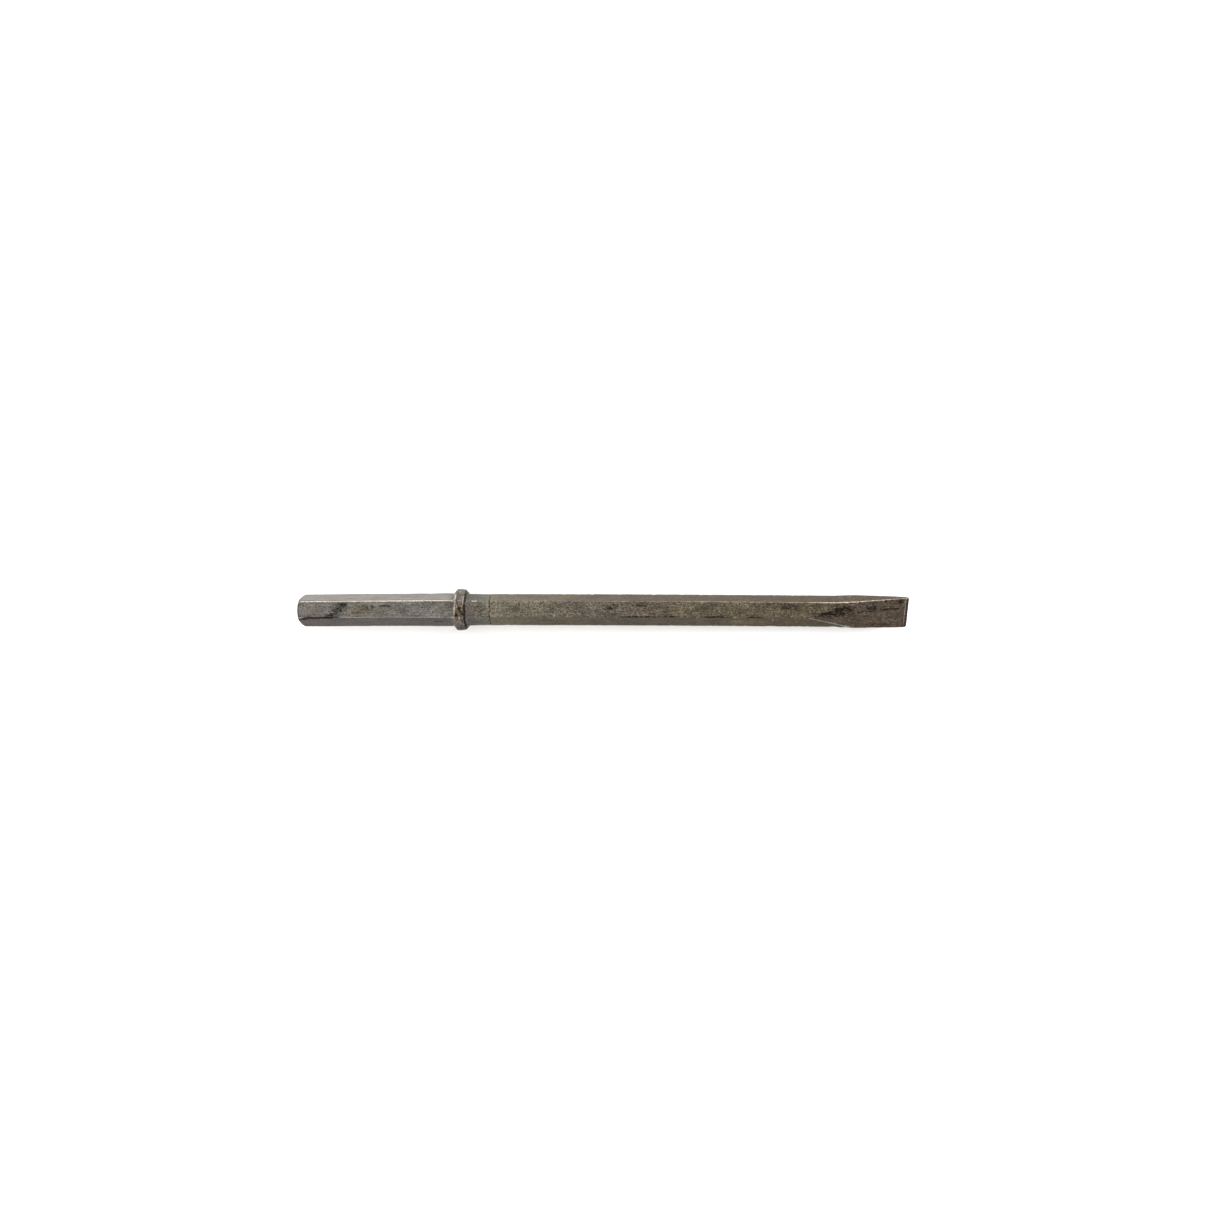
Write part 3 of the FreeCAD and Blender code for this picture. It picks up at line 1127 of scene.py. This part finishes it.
@dataclass(frozen=True)
class ForgedSteel:
    """Carbon tool steel as it leaves the forge and a short life on a rack.

    The shank is brushed clean and shines softly.  The bar keeps its tight olive-brown scale, the
    blade is browner and darker from its second heat, and corners are rubbed to pale bare metal.
    The pale line along the lit upper corner is partly painted highlight, and dark lines in creases
    and along the corner turned from the light are painted shade.
    """

    name: str = "forged_tool_steel"
    length: float = 600.0 * MM
    zones: tuple[Zone, ...] = (
        Zone(0.0, "5F5A56", 0.42, 0.72),
        Zone(148.0, "5C5853", 0.42, 0.72),
        Zone(157.0, "4B453E", 0.6, 0.18),
        Zone(168.0, "4C4643", 0.7, 0.12),
        Zone(186.0, "535046", 0.75, 0.12),
        Zone(192.0, "534E44", 0.75, 0.12),
        Zone(300.0, "463F37", 0.75, 0.12),
        Zone(500.0, "41392D", 0.75, 0.12),
        Zone(545.0, "3C332A", 0.75, 0.12),
        Zone(595.6, "3E342B", 0.7, 0.15),
        Zone(596.4, "50463B", 0.6, 0.2),
        Zone(597.2, "483F35", 0.6, 0.2),
        Zone(597.7, "1F1711", 0.55, 0.5),
        Zone(600.0, "231D15", 0.55, 0.5),
    )
    films: tuple[FilmFinish, ...] = (
        FilmFinish(Film.OLIVE, "443E2E", 0.7, 0.12, 4.0, 3.0, 0.75),
        FilmFinish(Film.GREEN, "3C3F3B", 0.65, 0.2, 3.6, 3.4, 0.8),
        FilmFinish(Film.RUST, "54493C", 0.85, 0.0, 2.0, 5.0, 0.9),
        # Soot and old oil, and the painted shade in creases and along the corner turned from the light
        FilmFinish(Film.DARK, "17110C", 0.6, 0.7, 2.3, 4.6, 0.96),
        # Rubbed metal, and the painted highlight on the lit upper corner
        FilmFinish(Film.WORN_AND_HIGHLIGHT, "9F968D", 0.42, 0.5, 3.5, 1.6, 0.8),
    )
    # Real grain, brush lines and specks are a few tenths of a millimetre across, which is too
    # fine to show, so all three are drawn coarser.
    borders: Marks = Marks("borders", 9.0, 2.0, squeeze=1.0)
    clouds: Marks = Marks("clouds", 8.0, 4.0, 0.6, tones=(0.6, 1.45))
    grain: Marks = Marks("grain", 1.4, 3.0, 0.65, squeeze=1.0, tones=(0.1, 2.2))
    streaks: Marks = Marks("streaks", 1.0, 2.0, squeeze=0.05, tones=(0.79, 1.175))
    speckling: Marks = Marks("speckling", 1.5, 1.0)
    specks: tuple[Specks, ...] = (Specks(0.6, 0.7, "1E1811", 0.6), Specks(0.36, 0.29, "8A8068", 0.4))
    border_shift: float = 6.0 * MM
    film_detail: float = 3.0
    gloss_spread: float = 0.3
    grain_depth: float = 0.06 * MM
    # Scale is matt and porous, so it has little of the clear reflection that a smooth skin has
    clear_reflection: float = 0.1

    def noises(self, tree: Tree, place: Socket) -> dict[str, Socket]:
        """Add every noise that the finish uses.

        Args:
            tree: Node tree of the material.
            place: Position in the tool's frame.

        Returns:
            A noise around 0.5 for each set of marks and each film, by its name.
        """
        patches = [Marks(item.film.value, item.patch_mm, self.film_detail) for item in self.films]
        noises = {}
        for marks in (self.borders, self.clouds, self.grain, self.streaks, self.speckling, *patches):
            drawn = add_node(tree, "Mapping", {"Scale": (marks.squeeze, 1.0, 1.0)}, {"Vector": place})
            scale = 1.0 / (marks.size_mm * MM)
            grading = {"Scale": scale, "Detail": marks.detail, "Roughness": marks.roughness}
            pattern = add_node(tree, "TexNoise", grading, {"Vector": drawn.outputs[0]})
            noises[marks.name] = pattern.outputs[0]
        return noises

    def base(self, tree: Tree, place: Socket, ragged: Socket) -> Coat:
        """Lay the steel and scale that change from zone to zone along the tool.

        Args:
            tree: Node tree of the material.
            place: Position in the tool's frame.
            ragged: Noise that makes the borders between zones uneven.

        Returns:
            The coat that films and marks go over.
        """
        axes = add_node(tree, "SeparateXYZ", links={"Vector": place})
        shift = {"operation": "MULTIPLY_ADD", 1: self.border_shift}
        shifted = add_node(tree, "Math", shift, {0: ragged, 2: axes.outputs["X"]})
        start = 0.5 * self.border_shift
        limits = {"From Min": start, "From Max": start + self.length}
        share = add_node(tree, "MapRange", limits, {"Value": shifted.outputs[0]})
        outputs = []
        for part in range(3):
            ramp = add_node(tree, "ValToRGB", links={"Fac": share.outputs[0]})
            stops = ramp.color_ramp.elements
            stops.remove(stops[1])
            for number, zone in enumerate(self.zones):
                along = zone.place_mm * MM / self.length
                stop = stops[0] if number == 0 else stops.new(along)
                stop.position = along
                stop.color = zone.looks()[part]
            outputs.append(ramp.outputs["Color"])
        return Coat(tree, *outputs)

    def material(self) -> bpy.types.Material:
        """Make the finish: zones, then films, then marks, then an uneven gloss and a fine grain.

        Returns:
            The material, which reads the films and the coarseness from attributes of the mesh.
        """
        material = bpy.data.materials.new(self.name)
        material.use_nodes = True
        tree = material.node_tree
        place = add_node(tree, "TexCoord").outputs["Object"]
        coarse = add_node(tree, "Attribute", {"attribute_name": "coarse"}).outputs["Fac"]
        noises = self.noises(tree, place)
        coat = self.base(tree, place, noises["borders"])
        for finish in self.films:
            coat.lay(finish, noises[finish.film.value])
        coat.mottle(self.clouds, noises["clouds"], coarse)
        coat.mottle(self.grain, noises["grain"], coarse)
        coat.mottle(self.streaks, noises["streaks"])
        for specks in self.specks:
            coat.speckle(specks, noises["speckling"], coarse)
        spread = {"operation": "MULTIPLY_ADD", 1: self.gloss_spread, 2: -0.5 * self.gloss_spread}
        uneven = add_node(tree, "Math", spread, {0: noises["clouds"]})
        gloss = add_node(tree, "Math", {"operation": "ADD"}, {0: coat.roughness, 1: uneven.outputs[0]})
        depth = {"Strength": 1.0, "Distance": self.grain_depth}
        skin = add_node(tree, "Bump", depth, {"Height": noises["grain"]})
        shader = tree.nodes["Principled BSDF"]
        shader.inputs["Specular IOR Level"].default_value = self.clear_reflection
        tree.links.new(coat.colour, shader.inputs["Base Color"])
        tree.links.new(gloss.outputs[0], shader.inputs["Roughness"])
        tree.links.new(coat.metallic, shader.inputs["Metallic"])
        tree.links.new(skin.outputs[0], shader.inputs["Normal"])
        return material


@dataclass
class Studio:
    """Pale floor, soft lights and a camera that looks down on the tool."""

    collar_middle: float
    collar_radius: float
    bar_radius: float
    bar_rest: float
    camera_distance: float = 1.161
    camera_tilt: float = math.radians(3.0)
    camera_side: float = 3.4 * MM
    eye_place: float = 345.8 * MM
    view_middle: float = 303.4 * MM
    view_width: float = 1.198
    horizon: float = 3.3
    zenith: float = 1.2
    wall_lean: float = 0.35
    near_side: float = 0.4
    far_side: float = 2.85
    floor_reach: float = 60.0
    key_power: float = 12.0
    key_size: float = 2.0
    key_place: tuple[float, float, float] = (0.2, 2.4, 1.1)

    def floor(self) -> None:
        """Lay the floor under the collar and the end of the bar, which carry the tool."""
        shape = bmesh.new()
        bmesh.ops.create_grid(shape, x_segments=1, y_segments=1, size=self.floor_reach)
        slope = math.atan2(self.collar_radius - self.bar_radius, self.bar_rest - self.collar_middle)
        bmesh.ops.rotate(shape, verts=shape.verts[:], matrix=Matrix.Rotation(-slope, 3, "Y"))
        drop = self.collar_radius / math.cos(slope)
        bmesh.ops.translate(shape, verts=shape.verts[:], vec=(self.collar_middle, 0.0, -drop))
        mesh = bpy.data.meshes.new("floor")
        shape.to_mesh(mesh)
        shape.free()
        floor = bpy.data.objects.new("floor", mesh)
        # The lower sides of the bar mirror the dim table edge, and not this bright floor
        floor.visible_glossy = False
        bpy.context.scene.collection.objects.link(floor)
        # Matt white card: the tool casts a soft shade on it and is not mirrored in it
        material = bpy.data.materials.new("pale_floor")
        material.use_nodes = True
        shader = material.node_tree.nodes["Principled BSDF"]
        shader.inputs["Base Color"].default_value = linear("F4F3F1")
        shader.inputs["Roughness"].default_value = 0.9
        mesh.materials.append(material)
        floor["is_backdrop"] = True

    def key(self) -> None:
        """Add one large soft light, low on the far side, that points at the middle of the tool."""
        lamp = bpy.data.lights.new("key", "AREA")
        lamp.energy = self.key_power
        lamp.size = self.key_size
        holder = bpy.data.objects.new("key", lamp)
        holder.location = self.key_place
        aim = Vector((self.view_middle, 0.0, 0.0)) - holder.location
        holder.rotation_euler = aim.to_track_quat("-Z", "Y").to_euler()
        bpy.context.scene.collection.objects.link(holder)

    def surround(self) -> None:
        """Add white walls under a dimmer ceiling, with a dimmer table edge on the near side."""
        world = bpy.data.worlds.new("surround")
        world.use_nodes = True
        tree = world.node_tree
        direction = add_node(tree, "TexCoord").outputs["Generated"]
        axes = add_node(tree, "SeparateXYZ", links={"Vector": direction})
        heights = {"To Min": self.horizon, "To Max": self.zenith}
        walls = add_node(tree, "MapRange", heights, {"Value": axes.outputs["Z"]})
        brighter = {"operation": "MULTIPLY_ADD", 1: self.wall_lean, 2: 1.0}
        lean = add_node(tree, "Math", brighter, {0: axes.outputs["Y"]})
        factors = {0: walls.outputs[0], 1: lean.outputs[0]}
        leaning = add_node(tree, "Math", {"operation": "MULTIPLY"}, factors)
        sides = {"From Min": -0.9, "From Max": 0.9, "To Min": self.near_side, "To Max": self.far_side}
        table = add_node(tree, "MapRange", sides, {"Value": axes.outputs["Y"]})
        below = add_node(tree, "Math", {"operation": "LESS_THAN", 1: -0.04}, {0: axes.outputs["Z"]})
        levels = {0: below.outputs[0], 2: leaning.outputs[0], 3: table.outputs[0]}
        level = add_node(tree, "Mix", links=levels)
        tree.links.new(level.outputs[0], tree.nodes["Background"].inputs["Strength"])
        tree.nodes["Background"].inputs["Color"].default_value = linear("FFFFFF")
        bpy.context.scene.world = world

    def camera(self) -> None:
        """Add the camera, above the tool and tipped a little towards its lower side."""
        lens = bpy.data.cameras.new("camera")
        lens.lens = lens.sensor_width * self.camera_distance / self.view_width
        lens.shift_x = (self.view_middle - self.eye_place) / self.view_width
        holder = bpy.data.objects.new("camera", lens)
        aim = Matrix.Translation((self.eye_place, self.camera_side, 0.0))
        lean = Matrix.Rotation(self.camera_tilt, 4, "X")
        holder.matrix_world = aim @ lean @ Matrix.Translation((0.0, 0.0, self.camera_distance))
        bpy.context.scene.collection.objects.link(holder)
        bpy.context.scene.camera = holder


def main() -> None:
    """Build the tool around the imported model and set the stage."""
    logging.basicConfig(level=logging.INFO, format="%(message)s")
    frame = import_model()
    low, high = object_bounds()
    mounts = {mount["name"]: mount for mount in frame["record"]["mounts"]}
    length = high[0]
    # Past the neck the bar is drawn down a little, which no mount states
    bar_flats = 27.2 * MM
    collar = Collar(
        middle=mounts["collar"]["pos_m"][0],
        radius=mounts["collar"]["dims"]["r_mm"] * MM,
    )
    forging = Forging(
        length=length,
        shank_flats=2.0 * mounts["shank_flat"]["pos_m"][2],
        bar_flats=bar_flats,
        collar=collar,
        blade=Blade(end=length, bar_flats=bar_flats),
    )
    piece = forging.build()
    piece.data.materials.append(ForgedSteel(length=length).material())
    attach(piece, "root")
    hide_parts("forged_chisel")
    # The underside leaves the floor about 50 mm before the cutting edge, as the blade thins
    studio = Studio(collar.middle, collar.radius, 0.5 * bar_flats, bar_rest=length - 50.0 * MM)
    studio.floor()
    studio.key()
    studio.surround()
    studio.camera()
    bpy.context.scene.view_settings.view_transform = "Standard"


if __name__ == "__main__":
    main()
